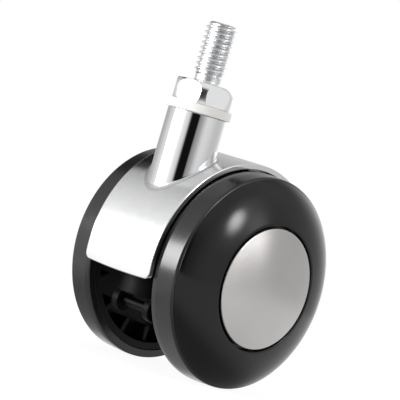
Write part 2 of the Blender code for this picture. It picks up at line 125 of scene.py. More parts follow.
THREAD_R, THREAD_ROOT_R, PITCH, THREAD_Z0 = 4.7625, 3.79, 1.5875, 87.9
HEX_FLATS, HEX_TURN_DEG = 17.3, -15.0
HEX_Z0, HEX_Z1 = WASHER_HIGH.z + 0.1, 85.5
HEX_ROUND, HEX_FOOT, HEX_REACH, HEX_POWER = 3.9, 3.1, 0.93, 3
SHANK_R, GROOVE_R, GROOVE_Z0, GROOVE_Z1 = 4.75, 4.3, 46.1, 47.9

WEB_HALF, TOWER_R = 4.0, 7.3
POT_R, POT_Z0, POT_Z1 = 8.2, 20.2, 47.0
SOCKET_R, SOCKET_FLOOR = 5.85, 37.5
BOSS_R, BOSS_HALF, AXLE_BORE_R = 6.5, 12.8, 3.06
EAR_R, EAR_Y0, EAR_Y1, CROSS_BORE_R = 3.6, 5.4, 8.0, 1.56
LUG_X, LUG_HALF, LUG_Z, SCREW_HOLE_R = (4.0, 16.0), 12.4, (50.5, 53.0), 1.7
THROUGH = 20.0

# ---- camera ----

CAMERA_AZIMUTH_DEG, CAMERA_ELEVATION_DEG, CAMERA_ROLL_DEG = -46.178, 1.65, 16.311
CAMERA_AIM_MM, CAMERA_DISTANCE_MM = (-3.537, 4.417, 51.645), 680.0
CAMERA_LENS, CAMERA_SENSOR = 202.9, 36.0


# ---- mesh helpers ----


def mesh_object(name, verts, faces):
    """A mesh object from points in millimetres, with its normals turned outwards."""
    mesh = bpy.data.meshes.new(name)
    mesh.from_pydata([tuple(v) for v in verts], [], faces)
    bm = bmesh.new()
    bm.from_mesh(mesh)
    bmesh.ops.recalc_face_normals(bm, faces=bm.faces)
    bm.to_mesh(mesh)
    bm.free()
    obj = bpy.data.objects.new(name, mesh)
    bpy.context.scene.collection.objects.link(obj)
    return obj


def rounded(corners, steps=5):
    """A closed outline from (a, b, radius) corners, with an arc wherever a radius is given."""
    points = []
    for i, (a, b, radius) in enumerate(corners):
        corner = Vector((a, b))
        if not radius:
            points.append((a, b))
            continue
        back = (Vector(corners[i - 1][:2]) - corner).normalized()
        ahead = (Vector(corners[(i + 1) % len(corners)][:2]) - corner).normalized()
        half = back.angle(ahead) / 2
        centre = corner + (back + ahead).normalized() * radius / math.sin(half)
        first = corner + back * radius / math.tan(half) - centre
        last = corner + ahead * radius / math.tan(half) - centre
        start = math.atan2(first.y, first.x)
        sweep = (math.atan2(last.y, last.x) - start + math.pi) % (2 * math.pi) - math.pi
        for k in range(steps + 1):
            angle = start + sweep * k / steps
            points.append((centre.x + radius * math.cos(angle), centre.y + radius * math.sin(angle)))
    return points


def lathe(name, outline, axis, at=AXLE_AT, side=1.0, segments=AROUND, turn=0.0):
    """Revolves a closed outline of (radius, distance) points about Z or Y through a point.

    The distance is the world height for Z, and side times world Y for Y.
    """
    verts, rings = [], []
    for radius, distance in outline:
        ring = []
        for i in range(1 if radius == 0 else segments):
            angle = 2 * math.pi * i / segments + turn
            a, b = radius * math.cos(angle), radius * math.sin(angle)
            if axis == "Z":
                verts.append((at[0] + a, at[1] + b, distance))
            else:
                verts.append((at[0] + a, side * distance, at[2] + b))
            ring.append(len(verts) - 1)
        rings.append(ring)
    faces = []
    for k, low in enumerate(rings):
        high = rings[(k + 1) % len(rings)]
        if len(low) == 1 and len(high) == 1:
            continue
        for i in range(segments):
            j = (i + 1) % segments
            quad = [low[i % len(low)], low[j % len(low)], high[j % len(high)], high[i % len(high)]]
            faces.append([v for n, v in enumerate(quad) if v not in quad[:n]])
    return mesh_object(name, verts, faces)


def cylinder(name, axis, at, radius, low, high, edge=0.0, segments=48):
    """A cylinder between two world distances along Z or Y, its rims rounded by edge."""
    outline = rounded([(0, low, 0), (radius, low, edge), (radius, high, edge), (0, high, 0)], 3)
    return lathe(name, outline, axis, at, segments=segments)


def slab(name, x, y, z, edge=0.0, turn=None):
    """A box between three pairs of limits with rounded edges, turned about the axle if asked."""
    verts = [(a, b, c) for a in x for b in y for c in z]
    faces = [(0, 1, 3, 2), (4, 6, 7, 5), (0, 4, 5, 1), (2, 3, 7, 6), (0, 2, 6, 4), (1, 5, 7, 3)]
    obj = mesh_object(name, verts, faces)
    if edge:
        bevel_edges(obj, edge, 0)
    if turn:
        centre = Matrix.Translation(AXLE_AT)
        obj.data.transform(centre @ turn @ centre.inverted())
    return obj


def bevel_edges(obj, width, least_deg):
    """Rounds every edge of the mesh that bends by more than least_deg."""
    bm = bmesh.new()
    bm.from_mesh(obj.data)
    sharp = [e for e in bm.edges if math.degrees(e.calc_face_angle(0)) > least_deg]
    bmesh.ops.bevel(bm, geom=sharp, offset=width, segments=3, profile=0.5, affect="EDGES")
    bm.to_mesh(obj.data)
    bm.free()


def combine(obj, other, operation):
    """Joins, cuts or trims the object with another one, which is used up."""
    modifier = obj.modifiers.new(operation.lower(), "BOOLEAN")
    modifier.operation = operation
    modifier.solver = "EXACT"
    modifier.object = other
    bpy.context.view_layer.update()
    graph = bpy.context.evaluated_depsgraph_get()
    result = bpy.data.meshes.new_from_object(obj.evaluated_get(graph))
    obj.modifiers.clear()
    old = obj.data
    obj.data = result
    bpy.data.meshes.remove(old)
    bpy.data.objects.remove(other, do_unlink=True)
    return obj


def piece(obj, body, material, sharp_deg=30.0):
    """Brings a finished shape to metres and puts it in the place of the frame node it is named after."""
    obj.data.transform(Matrix.Scale(MM, 4))
    obj.data.materials.clear()
    obj.data.materials.append(material)
    obj.data.polygons.foreach_set("use_smooth", [True] * len(obj.data.polygons))
    obj.data.set_sharp_from_angle(angle=math.radians(sharp_deg))
    even = obj.modifiers.new("even_normals", "WEIGHTED_NORMAL")
    even.keep_sharp = True
    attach(obj, body)
    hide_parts(obj.name.removesuffix("_fine"))
    return obj


# ---- node helpers ----


class Nodes:
    """Adds nodes to a tree and links them as they are made."""

    def __init__(self, tree):
        self.tree = tree

    def add(self, kind, inputs=None, **settings):
        node = self.tree.nodes.new(kind)
        for key, value in settings.items():
            setattr(node, key, value)
        self.fill(node, inputs or {})
        return node

    def fill(self, node, inputs):
        for key, value in inputs.items():
            self.put(node.inputs[key], value)

    def put(self, socket, value):
        if isinstance(value, bpy.types.NodeSocket):
            self.tree.links.new(value, socket)
        else:
            socket.default_value = value

    def math(self, operation, *values, clamp=False):
        node = self.add("ShaderNodeMath", operation=operation, use_clamp=clamp)
        for socket, value in zip(node.inputs, values):
            self.put(socket, value)
        return node.outputs[0]

    def smooth(self, value, low, high, to_low=0.0, to_high=1.0):
        """A smooth step of the value from to_low to to_high."""
        keys = {"Value": value, "From Min": low, "From Max": high, "To Min": to_low, "To Max": to_high}
        return self.add("ShaderNodeMapRange", keys, interpolation_type="SMOOTHSTEP").outputs[0]

    def length(self, a, b):
        squares = self.math("ADD", self.math("POWER", a, 2.0), self.math("POWER", b, 2.0))
        return self.math("SQRT", squares)

    def mix(self, factor, a, b):
        """A colour between a and b."""
        node = self.add("ShaderNodeMix", {"Factor": factor}, data_type="RGBA")
        self.fill(node, {6: a, 7: b})
        return node.outputs[2]

    def blend(self, factor, a, b):
        """A value between a and b."""
        node = self.add("ShaderNodeMix", {"Factor": factor}, data_type="FLOAT")
        self.fill(node, {2: a, 3: b})
        return node.outputs[0]

    def noise(self, place, scale, detail=3.0, roughness=0.5):
        keys = {"Vector": place, "Scale": scale, "Detail": detail, "Roughness": roughness}
        return self.add("ShaderNodeTexNoise", keys).outputs[0]

    def stretched(self, place, scale):
        return self.add("ShaderNodeMapping", {"Vector": place, "Scale": scale}).outputs[0]

    def ramp(self, value, stops):
        """A straight grey ramp through (position, grey) stops."""
        node = self.add("ShaderNodeValToRGB", {"Fac": value})
        ramp = node.color_ramp
        ramp.interpolation = "LINEAR"
        while len(ramp.elements) > 1:
            ramp.elements.remove(ramp.elements[-1])
        for index, (position, grey) in enumerate(stops):
            element = ramp.elements[0] if index == 0 else ramp.elements.new(position)
            element.position = position
            element.color = (grey, grey, grey, 1.0)
        return node.outputs[0]


def new_material(name):
    """A material with its node helper, its shader, and its place in millimetres on the piece."""
    material = bpy.data.materials.new(name)
    material.use_nodes = True
    nodes = Nodes(material.node_tree)
    shader = material.node_tree.nodes["Principled BSDF"]
    metres = nodes.add("ShaderNodeTexCoord").outputs["Object"]
    return material, nodes, shader, nodes.stretched(metres, (1 / MM, 1 / MM, 1 / MM))


def tint(color, factor):
    return tuple(min(1.0, c * factor) for c in color) + (1.0,)


def edge_wear(nodes, place):
    """How worn a point is: edges that stick out, broken up by noise."""
    pointed = nodes.add("ShaderNodeNewGeometry").outputs["Pointiness"]
    edges = nodes.smooth(pointed, 0.52, 0.60)
    patches = nodes.smooth(nodes.noise(place, 0.6, 4.0), 0.4, 0.65)
    return nodes.math("MULTIPLY", edges, patches, clamp=True)


def relief(nodes, height, micrometres):
    """A bump whose full height is given in micrometres."""
    keys = {"Height": height, "Distance": micrometres * 1e-6, "Strength": 1.0}
    return nodes.add("ShaderNodeBump", keys).outputs[0]


# ---- finishes ----


def plastic(name, color, roughness, grain, mottle=0.12, specular=0.5):
    """Moulded plastic: faint mottling, a moulded grain and paler rubbed edges."""
    material, nodes, shader, place = new_material(name)
    cloud = nodes.noise(place, 0.22, 4.0)
    base = nodes.mix(cloud, tint(color, 1 - mottle), tint(color, 1 + mottle))
    worn = edge_wear(nodes, place)
    fine = nodes.noise(place, 5.0, 5.0, 0.6)
    rough = nodes.smooth(fine, 0.3, 0.7, roughness * 0.93, roughness * 1.08)
    nodes.fill(shader, {
        "Base Color": nodes.mix(worn, base, tint(color, 1.35)),
        "Roughness": nodes.math("ADD", rough, nodes.math("MULTIPLY", worn, 0.06)),
        "Specular IOR Level": specular,
        "Normal": relief(nodes, fine, grain),
    })
    return material


def metal(name, color, roughness, stretch, lines=0.5, mottle=0.08):
    """Machined or plated metal, with tool marks drawn out along the axes whose stretch is small."""
    material, nodes, shader, place = new_material(name)
    cloud = nodes.noise(place, 0.35, 4.0)
    base = nodes.mix(cloud, tint(color, 1 - mottle), tint(color, 1 + mottle))
    marks = nodes.noise(nodes.stretched(place, stretch), 6.0, 4.0, 0.6)
    nodes.fill(shader, {
        "Base Color": nodes.mix(edge_wear(nodes, place), base, tint(color, 1.15)),
        "Metallic": 1.0,
        "Roughness": nodes.smooth(marks, 0.3, 0.7, roughness * 0.85, roughness * 1.15),
        "Normal": relief(nodes, marks, lines),
    })
    return material


def tread_rubber():
    """Smooth satin black tread, very slightly dusted and scuffed where it runs."""
    material, nodes, shader, place = new_material("tread_rubber")
    cloud = nodes.noise(place, 0.15, 5.0)
    base = nodes.mix(cloud, (0.0085, 0.0085, 0.0095, 1.0), (0.0115, 0.0115, 0.0125, 1.0))
    scuff_place = nodes.stretched(place, (0.5, 3.0, 0.5))
    scuffs = nodes.smooth(nodes.noise(scuff_place, 1.2, 6.0, 0.65), 0.62, 0.78)
    fine = nodes.noise(place, 7.0, 5.0, 0.6)
    rough = nodes.smooth(fine, 0.3, 0.7, 0.18, 0.22)
    nodes.fill(shader, {
        "Base Color": nodes.mix(scuffs, base, (0.020, 0.020, 0.022, 1.0)),
        "Roughness": nodes.math("ADD", rough, nodes.math("MULTIPLY", scuffs, 0.06)),
        "Specular IOR Level": 0.5,
        "Normal": relief(nodes, fine, 0.8),
    })
    return material


def cover_gloss():
    """High gloss black moulding with a trace of orange peel and hairline swirls."""
    material, nodes, shader, place = new_material("cover_gloss")
    cloud = nodes.noise(place, 0.1, 3.0)
    swirl = nodes.noise(nodes.stretched(place, (1.0, 0.3, 6.0)), 1.5, 6.0, 0.7)
    nodes.fill(shader, {
        "Base Color": nodes.mix(cloud, (0.0035, 0.0035, 0.0037, 1.0), (0.005, 0.005, 0.0053, 1.0)),
        "Roughness": nodes.smooth(swirl, 0.35, 0.7, 0.12, 0.15),
        "Specular IOR Level": 0.33,
        "Normal": relief(nodes, nodes.noise(place, 0.9, 2.0), 2.0),
    })
    return material


def shaded(nodes, color, grey):
    """A colour darkened or lightened by a grey factor."""
    product = nodes.add("ShaderNodeMix", {"Factor": 1.0}, data_type="RGBA", blend_type="MULTIPLY")
    greys = nodes.add("ShaderNodeCombineColor", {0: grey, 1: grey, 2: grey})
    nodes.fill(product, {6: color, 7: greys.outputs[0]})
    return product.outputs[2]


def cap_nickel():
    """Satin nickel brushed level, so that its highlights draw out upright."""
    material, nodes, shader, place = new_material("cap_nickel")
    cloud = nodes.noise(place, 0.12, 4.0)
    base = nodes.mix(cloud, (0.50, 0.485, 0.475, 1.0), (0.56, 0.545, 0.535, 1.0))
    grain = nodes.noise(nodes.stretched(place, (0.35, 1.0, 7.0)), 1.6, 5.0, 0.7)
    streak = nodes.smooth(grain, 0.35, 0.7, 0.975, 1.02)
    upright = nodes.add("ShaderNodeTangent", direction_type="RADIAL", axis="X")
    nodes.fill(shader, {
        "Base Color": shaded(nodes, base, streak),
        "Metallic": 1.0,
        "Roughness": nodes.smooth(grain, 0.3, 0.7, 0.22, 0.26),
        "Anisotropic": 0.6,
        "Tangent": upright.outputs[0],
        "Normal": relief(nodes, grain, 0.12),
    })
    return material


def from_stem_axis(nodes, place):
    """The distance from the swivel axis, in millimetres, and the place's three parts."""
    apart = nodes.add("ShaderNodeSeparateXYZ", {0: place}).outputs
    return nodes.length(nodes.math("SUBTRACT", apart[0], STEM_X), apart[1]), apart


def hood_chrome():
    """Mirror-polished neck and side faces, with an arch brushed along the axle between them.

    The fillet round the neck's foot is darkened with painted shade, and is a little duller.
    """
    material, nodes, shader, place = new_material("hood_chrome")
    reach, apart = from_stem_axis(nodes, place)
    satin = nodes.smooth(reach, NECK_R + 0.02, NECK_R + 0.35 * NECK_FILLET)
    off_middle = nodes.math("ABSOLUTE", apart[1])
    side_face = nodes.smooth(off_middle, HOOD_HALF - 0.2, HOOD_HALF - 0.06)
    satin = nodes.math("MULTIPLY", satin, nodes.math("SUBTRACT", 1.0, side_face))
    cloud = nodes.noise(place, 0.12, 4.0)
    base = nodes.mix(cloud, (0.76, 0.765, 0.775, 1.0), (0.82, 0.82, 0.825, 1.0))
    grain = nodes.noise(nodes.stretched(place, (5.0, 0.25, 5.0)), 1.8, 6.0, 0.7)
    streak = nodes.math("MULTIPLY", nodes.smooth(grain, 0.3, 0.7, -0.05, 0.05), satin)
    # painted shade: the colour is darkened in the fillet round the neck's foot, and its roughness is
    # raised there too
    painted_crease_shade = nodes.math(
        "MULTIPLY",
        nodes.smooth(reach, NECK_R + 0.03, NECK_R + 0.2),
        nodes.smooth(reach, NECK_R + NECK_FILLET + 0.3, NECK_R + 0.6 * NECK_FILLET),
    )
    grey = nodes.math("MULTIPLY_ADD", painted_crease_shade, -0.34, nodes.math("ADD", streak, 1.0))
    brushed = nodes.smooth(grain, 0.3, 0.7, 0.14, 0.21)
    polished = nodes.smooth(nodes.noise(place, 0.8, 3.0), 0.3, 0.7, 0.02, 0.04)
    rough = nodes.blend(satin, polished, brushed)
    nodes.fill(shader, {
        "Base Color": shaded(nodes, base, grey),
        "Metallic": 1.0,
        "Roughness": nodes.math("MULTIPLY_ADD", painted_crease_shade, 0.1, rough),
        "Normal": relief(nodes, nodes.math("MULTIPLY", grain, satin), 1.2),
    })
    return material


def stem_zinc():
    """Bright zinc plate, duller down in the thread's roots, where painted shade darkens it in patches.
    """
    material, nodes, shader, place = new_material("stem_zinc")
    reach, _ = from_stem_axis(nodes, place)
    crest = nodes.smooth(reach, THREAD_ROOT_R + 0.05, THREAD_ROOT_R + 0.8)
    cloud = nodes.noise(place, 0.35, 4.0)
    base = nodes.mix(cloud, (0.84, 0.845, 0.855, 1.0), (0.91, 0.915, 0.92, 1.0))
    # painted shade: the colour down in the thread's roots is darkened by a patchy amount
    painted_root_shade = nodes.smooth(nodes.noise(place, 0.9, 4.0), 0.35, 0.65, 0.66, 0.82)
    marks = nodes.noise(nodes.stretched(place, (1.0, 1.0, 9.0)), 6.0, 4.0, 0.6)
    rough = nodes.smooth(marks, 0.3, 0.7, 0.16, 0.23)
    nodes.fill(shader, {
        "Base Color": shaded(nodes, base, nodes.blend(crest, painted_root_shade, 1.0)),
        "Metallic": 1.0,
        "Roughness": nodes.blend(crest, 0.4, rough),
        "Normal": relief(nodes, marks, 0.4),
    })
    return material


# ---- wheels ----


def make_tread(body, side, material):
    """The tread, its running face sloping a little down towards the wheel's outer side."""
    low, high = TREAD_U0, TREAD_U1
    outer = WHEEL_R - TREAD_TAPER
    corners = [
        (TREAD_INNER_R, low, 0.1),
        (WHEEL_R - SHOULDER_DROP, low, 0.4),
        (WHEEL_R, low + SHOULDER_WIDE, 2.0),
        (outer, high, TREAD_EDGE),
        (TREAD_INNER_R, high, 0.1),
    ]
    obj = lathe(f"{body}_tread_fine", rounded(corners, 7), "Y", side=side, segments=256)
    return piece(obj, body, material)


def dome_u(radius):
    """Height of the cover's domed face at a radius."""
    return DOME_U + DOME_B * math.sqrt(1 - (radius / DOME_A) ** 2)


def make_cover(body, side, material):
    """The domed cover, with a round pocket in its middle for the cap."""
    steps, lip = 40, 0.35
    top = [POCKET_R + lip + (COVER_R - POCKET_R - lip) * (i / steps) ** 0.8 for i in range(steps + 1)]
    rim_u = TREAD_U1 + 0.1
    corners = [(POCKET_R, dome_u(POCKET_R) - lip, 0)]
    corners += [
        (POCKET_R + lip * (1 - math.cos(a)), dome_u(POCKET_R + lip) - lip * (1 - math.sin(a)), 0)
        for a in (math.radians(d) for d in (22.5, 45, 67.5))
    ]
    corners += [(r, dome_u(r), 0) for r in top]
    corners += [
        (COVER_R, rim_u, 0),
        (RIM_R - 0.1, rim_u, 0.05),
        (RIM_R - 0.1, WEB_U1 + 0.1, 0.2),
        (28.0, WEB_U1 + 0.1, 0.2),
        (28.0, dome_u(28.0) - COVER_WALL, 0.8),
        (20.0, dome_u(20.0) - COVER_WALL, 0.8),
        (17.5, POCKET_U - COVER_POCKET_WALL, 0.6),
        (COVER_EYE_R, POCKET_U - COVER_POCKET_WALL, 0.2),
        (COVER_EYE_R, POCKET_U, 0.2),
        (POCKET_R, POCKET_U, 0.25),
    ]
    obj = lathe(f"{body}_cover_fine", rounded(corners, 4), "Y", side=side, segments=256)
    return piece(obj, body, material, 40.0)


def make_hub_cap(body, side, material):
    """The crowned cap, with a spigot behind it that plugs into the cover's eye."""
    crown_edge, steps = CAP_R - 0.7, 16
    bend = (crown_edge**2 + CAP_DROP**2) / (2 * CAP_DROP)
    corners = []
    for i in range(steps + 1):
        radius = crown_edge * i / steps
        corners.append((radius, CAP_CROWN_U - bend + math.sqrt(bend**2 - radius**2), 0))
    corners += [
        (CAP_R, CAP_EDGE_U + 0.1, 0.3),
        (CAP_R, POCKET_U + 0.2, 0.1),
        (CAP_SPIGOT_R, POCKET_U + 0.2, 0.2),
        (CAP_SPIGOT_R, POCKET_U - 1.5, 0.15),
        (CAP_SPIGOT_BORE_R, POCKET_U - 1.5, 0.15),
        (CAP_SPIGOT_BORE_R, POCKET_U + 1.0, 0.3),
        (0, POCKET_U + 1.0, 0),
    ]
    obj = lathe(f"{body}_hub_cap_fine", rounded(corners, 6), "Y", side=side, segments=256)
    return piece(obj, body, material, 40.0)


def make_wheel_core(body, side, material):
    """Rim, web and hub of the wheel, with short gussets between the rim and the web."""
    corners = [
        (HUB_BORE_R, CORE_U0 + 0.1, 0.15),
        (HUB_R, CORE_U0 + 0.1, 0.4),
        (HUB_R, WEB_U0, 0.8),
        (RIM_R - RIM_WALL, WEB_U0, 0.8),
        (RIM_R - RIM_WALL, CORE_U0, 0.3),
        (RIM_R, CORE_U0, 0.15),
        (RIM_R, WEB_U1, 0.3),
        (HUB_R, WEB_U1, 0.4),
        (HUB_R, CORE_U1, 0.3),
        (HUB_BORE_R, CORE_U1, 0.15),
    ]
    obj = lathe(f"{body}_core_fine", rounded(corners, 4), "Y", side=side, segments=160)
    half = GUSSET_THICK / 2
    for i in range(GUSSET_COUNT):
        turn = Matrix.Rotation(-math.radians(GUSSET_FIRST_DEG + 360.0 * i / GUSSET_COUNT), 4, "Y")
        ends = sorted((side * GUSSET_U0, side * (WEB_U0 + 0.8)))
        reach = (GUSSET_R0, RIM_R - RIM_WALL + 0.8)
        gusset = slab("gusset", reach, ends, (AXLE_Z - half, AXLE_Z + half), 0.3, turn)
        combine(obj, gusset, "UNION")
    return piece(obj, body, material)


# ---- hood ----

HOOD_COLUMNS, HOOD_ROWS, HOOD_TURN_ROWS = 36, 160, 8
HOLE_COLUMNS = 2
HOLE_MARGIN_DEG = 4.2


def bowed(angle, y):
    """The arc angle, moved near both lower edges so that they bow down in the middle."""
    bow = HOOD_BOW / HOOD_R * (1 - (y / HOOD_HALF) ** 2)
    reach = math.radians(HOOD_BOW_DEG)
    rear = max(0.0, 1 - (angle + HOOD_END) / reach)
    front = max(0.0, 1 - (math.pi + HOOD_END - angle) / reach)
    return angle + bow * (front**2 - rear**2)


def arch_at(angle, y, radius):
    return Vector((radius * math.cos(angle), y, AXLE_Z + radius * math.sin(angle)))


def hood_rows(inset):
    """Arc angles of the arch's rows with the half width at each, for an outline drawn in by inset."""
    start = -HOOD_END + HOOD_CORNER / HOOD_R
    bend = HOOD_CORNER - inset
    near = []
    for k in range(HOOD_TURN_ROWS + 1):
        turn = math.pi / 2 * k / HOOD_TURN_ROWS
        half = HOOD_HALF - inset - bend * (1 - math.sin(turn))
        near.append((start - bend * math.cos(turn) / HOOD_R, half))
    far = [(math.pi - angle, half) for angle, half in reversed(near)]
    span = math.pi - 2 * start
    middle = [(start + span * i / HOOD_ROWS, HOOD_HALF - inset) for i in range(1, HOOD_ROWS)]
    return near + middle + far


def hood_grid(inset, radius):
    """The points of one face of the arch, row by row."""
    shares = [2 * j / HOOD_COLUMNS - 1 for j in range(HOOD_COLUMNS + 1)]
    return [
        [arch_at(bowed(angle, half * share), half * share, radius) for share in shares]
        for angle, half in hood_rows(inset)
    ]


def around_grid(first_row, last_row, first_column, last_column):
    """The (row, column) pairs along the border of part of a grid, once round."""
    rows, columns = range(first_row, last_row), range(first_column, last_column)
    path = [(first_row, j) for j in columns]
    path += [(i, last_column) for i in rows]
    path += [(last_row, j) for j in range(last_column, first_column, -1)]
    path += [(i, first_column) for i in range(last_row, first_row, -1)]
    return path


def hole_rows():
    """The first and last row of the opening that the neck's foot fills."""
    foot = NECK_R + NECK_FILLET
    margin = math.radians(HOLE_MARGIN_DEG)
    low = math.acos((STEM_X + foot) / HOOD_R) - margin
    high = math.acos((STEM_X - foot) / HOOD_R) + margin
    angles = [angle for angle, _ in hood_rows(HOOD_EDGE)]
    first = max(i for i, angle in enumerate(angles) if angle <= low)
    last = min(i for i, angle in enumerate(angles) if angle >= high)
    return first, last


def border_turns(first, last):
    """The turn about the swivel axis of each border point of the opening, a quarter for each side."""
    quarter = math.pi / 2
    counts = (HOOD_COLUMNS - 2 * HOLE_COLUMNS, last - first) * 2
    turns = []
    for side, count in enumerate(counts):
        turns += [quarter * (side - 0.5 + k / count) for k in range(count)]
    return turns


def neck_ring(radius, turns, height):
    """Points round the swivel axis at a height given for each turn."""
    return [
        Vector((STEM_X + radius * math.cos(t), radius * math.sin(t), height(radius, t))) for t in turns
    ]


def on_arch(hood_radius):
    """The height of a face of the arch, as a function of radius and turn about the swivel axis."""

    def height(radius, turn):
        return AXLE_Z + math.sqrt(hood_radius**2 - (STEM_X + radius * math.cos(turn)) ** 2)

    return height


def fillet_rings(turns):
    """Rings from the fillet's foot on the arch, up to the neck's straight wall."""
    height, steps, foot = on_arch(HOOD_R), 9, NECK_R + NECK_FILLET
    rings = []
    for k in range(1, steps + 1):
        t = 1 - k / steps
        ring = []
        for turn in turns:
            x = STEM_X + foot * math.cos(turn)
            slope = -x * math.cos(turn) / math.sqrt(HOOD_R**2 - x**2)
            low = height(foot, turn)
            corner = low - slope * NECK_FILLET
            z = (1 - t) ** 2 * (corner + NECK_FILLET) + 2 * t * (1 - t) * corner + t * t * low
            radius = NECK_R + NECK_FILLET * t * t
            ring.append(Vector((STEM_X + radius * math.cos(turn), radius * math.sin(turn), z)))
        rings.append(ring)
    return rings


def sheet_rings(grid, border, foot_ring, hood_radius, steps=5):
    """Rings across a face of the arch, from the opening's border in to the foot ring."""
    rings = []
    for k in range(1, steps + 1):
        share = k / steps
        ring = []
        for (i, j), foot in zip(border, foot_ring):
            edge = grid[i][j]
            edge_angle = math.atan2(edge.z - AXLE_Z, edge.x)
            foot_angle = math.atan2(foot.z - AXLE_Z, foot.x)
            angle = edge_angle + (foot_angle - edge_angle) * share
            ring.append(arch_at(angle, edge.y + (foot.y - edge.y) * share, hood_radius))
        rings.append(ring)
    return rings


def make_hood_shell():
    """The arch and its neck as one closed skin."""
    inner_r = HOOD_R - HOOD_WALL
    outer = hood_grid(HOOD_EDGE, HOOD_R)
    inner = hood_grid(HOOD_INNER_EDGE, inner_r)
    first, last = hole_rows()
    hole = around_grid(first, last, HOLE_COLUMNS, HOOD_COLUMNS - HOLE_COLUMNS)
    edge = around_grid(0, len(outer) - 1, 0, HOOD_COLUMNS)
    turns = border_turns(first, last)
    verts, faces = [], []

    def add_ring(points):
        start = len(verts)
        verts.extend(points)
        return list(range(start, len(verts)))

    def bridge(a, b):
        for k in range(len(a)):
            m = (k + 1) % len(a)
            faces.append((a[k], a[m], b[m], b[k]))

    def add_sheet(grid):
        index = [add_ring(row) for row in grid]
        for i in range(len(grid) - 1):
            for j in range(HOOD_COLUMNS):
                in_hole = first <= i < last and HOLE_COLUMNS <= j < HOOD_COLUMNS - HOLE_COLUMNS
                if not in_hole:
                    faces.append((index[i][j], index[i][j + 1], index[i + 1][j + 1], index[i + 1][j]))
        return index

    outer_index, inner_index = add_sheet(outer), add_sheet(inner)

    # round the rim, from the outside face to the inside face
    steps = 5
    rim = []
    for k in range(1, steps + 1):
        a = math.pi / 2 * k / steps
        rim.append((HOOD_EDGE * (1 - math.sin(a)), HOOD_R - HOOD_EDGE * (1 - math.cos(a))))
    for k in range(3):
        a = math.pi / 2 * k / 3
        rim.append((HOOD_INNER_EDGE * (1 - math.cos(a)), inner_r + HOOD_INNER_EDGE * (1 - math.sin(a))))
    previous = [outer_index[i][j] for i, j in edge]
    for inset, radius in rim:
        grid = hood_grid(inset, radius)
        ring = add_ring([grid[i][j] for i, j in edge])
        bridge(previous, ring)
        previous = ring
    bridge(previous, [inner_index[i][j] for i, j in edge])

    # the outside: arch, fillet, neck wall, rounded top, then down the bore to the inside face
    rings = sheet_rings(outer, hole, neck_ring(NECK_R + NECK_FILLET, turns, on_arch(HOOD_R)), HOOD_R)
    rings += fillet_rings(turns)
    foot, top = rings[-1], NECK_TOP - NECK_EDGE
    for share in (0.25, 0.5, 0.75, 1.0):
        rings.append([v + (Vector((v.x, v.y, top)) - v) * share for v in foot])
    for degrees in (22.5, 45, 67.5, 90):
        a = math.radians(degrees)
        height = top + NECK_EDGE * math.sin(a)
        rings.append(neck_ring(NECK_R - NECK_EDGE * (1 - math.cos(a)), turns, lambda r, t, z=height: z))
    rings.append(neck_ring(NECK_BORE_R + 0.15, turns, lambda r, t: NECK_TOP))
    rings.append(neck_ring(NECK_BORE_R, turns, lambda r, t: NECK_TOP - 0.15))
    bore_foot = neck_ring(NECK_BORE_R, turns, on_arch(inner_r))
    inside = sheet_rings(inner, hole, bore_foot, inner_r)
    rings += inside[::-1]
    previous = [outer_index[i][j] for i, j in hole]
    for points in rings:
        ring = add_ring(points)
        bridge(previous, ring)
        previous = ring
    bridge(previous, [inner_index[i][j] for i, j in hole])
    return drop_loose(mesh_object("hood_casting_fine", verts, faces))


def drop_loose(obj):
    """Removes points that no face uses."""
    bm = bmesh.new()
    bm.from_mesh(obj.data)
    bmesh.ops.delete(bm, geom=[v for v in bm.verts if not v.link_faces], context="VERTS")
    bm.to_mesh(obj.data)
    bm.free()
    return obj


def make_hood(material):
    obj = make_hood_shell()
    for y in (-SCREW_Y, SCREW_Y):
        at = (SCREW_X, y, 0)
        top = AXLE_Z + math.sqrt((HOOD_R - 0.8) ** 2 - (SCREW_X + POST_R) ** 2)
        combine(obj, cylinder("post", "Z", at, POST_R, POST_Z0, top, 0.2), "UNION")
        pilot = cylinder("pilot", "Z", at, PILOT_R, POST_Z0 - 2, PILOT_TOP, segments=32)
        combine(obj, pilot, "DIFFERENCE")
    return piece(obj, "swivel", material)


# ---- core ----


def core_outline():
    """Side view of the core's middle web: front edge inside the pot, top arc, tail, lower edge."""
    radius, front_x, tail, steps = HOOD_R - HOOD_WALL - 0.6, -25.0, math.radians(12), 48
    front = math.acos(front_x / radius)
    top = [front + (tail - front) * i / steps for i in range(steps + 1)]
    points = [(front_x, -11.0)]
    points += [(radius * math.cos(a), radius * math.sin(a)) for a in top]
    points += [(26.0, 2.0), (9.0, -7.0), (3.0, -9.0), (-5.0, -9.5), (-13.0, -11.0)]
    return [(x, AXLE_Z + z) for x, z in points]


def add_ear(obj, side):
    """One of the two ears under the pot that hold the cross pin."""
    inner, outer = sorted((side * (EAR_Y0 + 0.3), side * (EAR_Y1 - 0.3)))
    neck = slab("neck", (CROSS_X - 2.4, CROSS_X + 2.4), (inner, outer), (CROSS_Z, POT_Z0 + 0.9))
    low, high = sorted((side * EAR_Y0, side * EAR_Y1))
    combine(neck, cylinder("ear", "Y", CROSS_AT, EAR_R, low, high, 0.35, 64), "UNION")
    combine(obj, neck, "UNION")


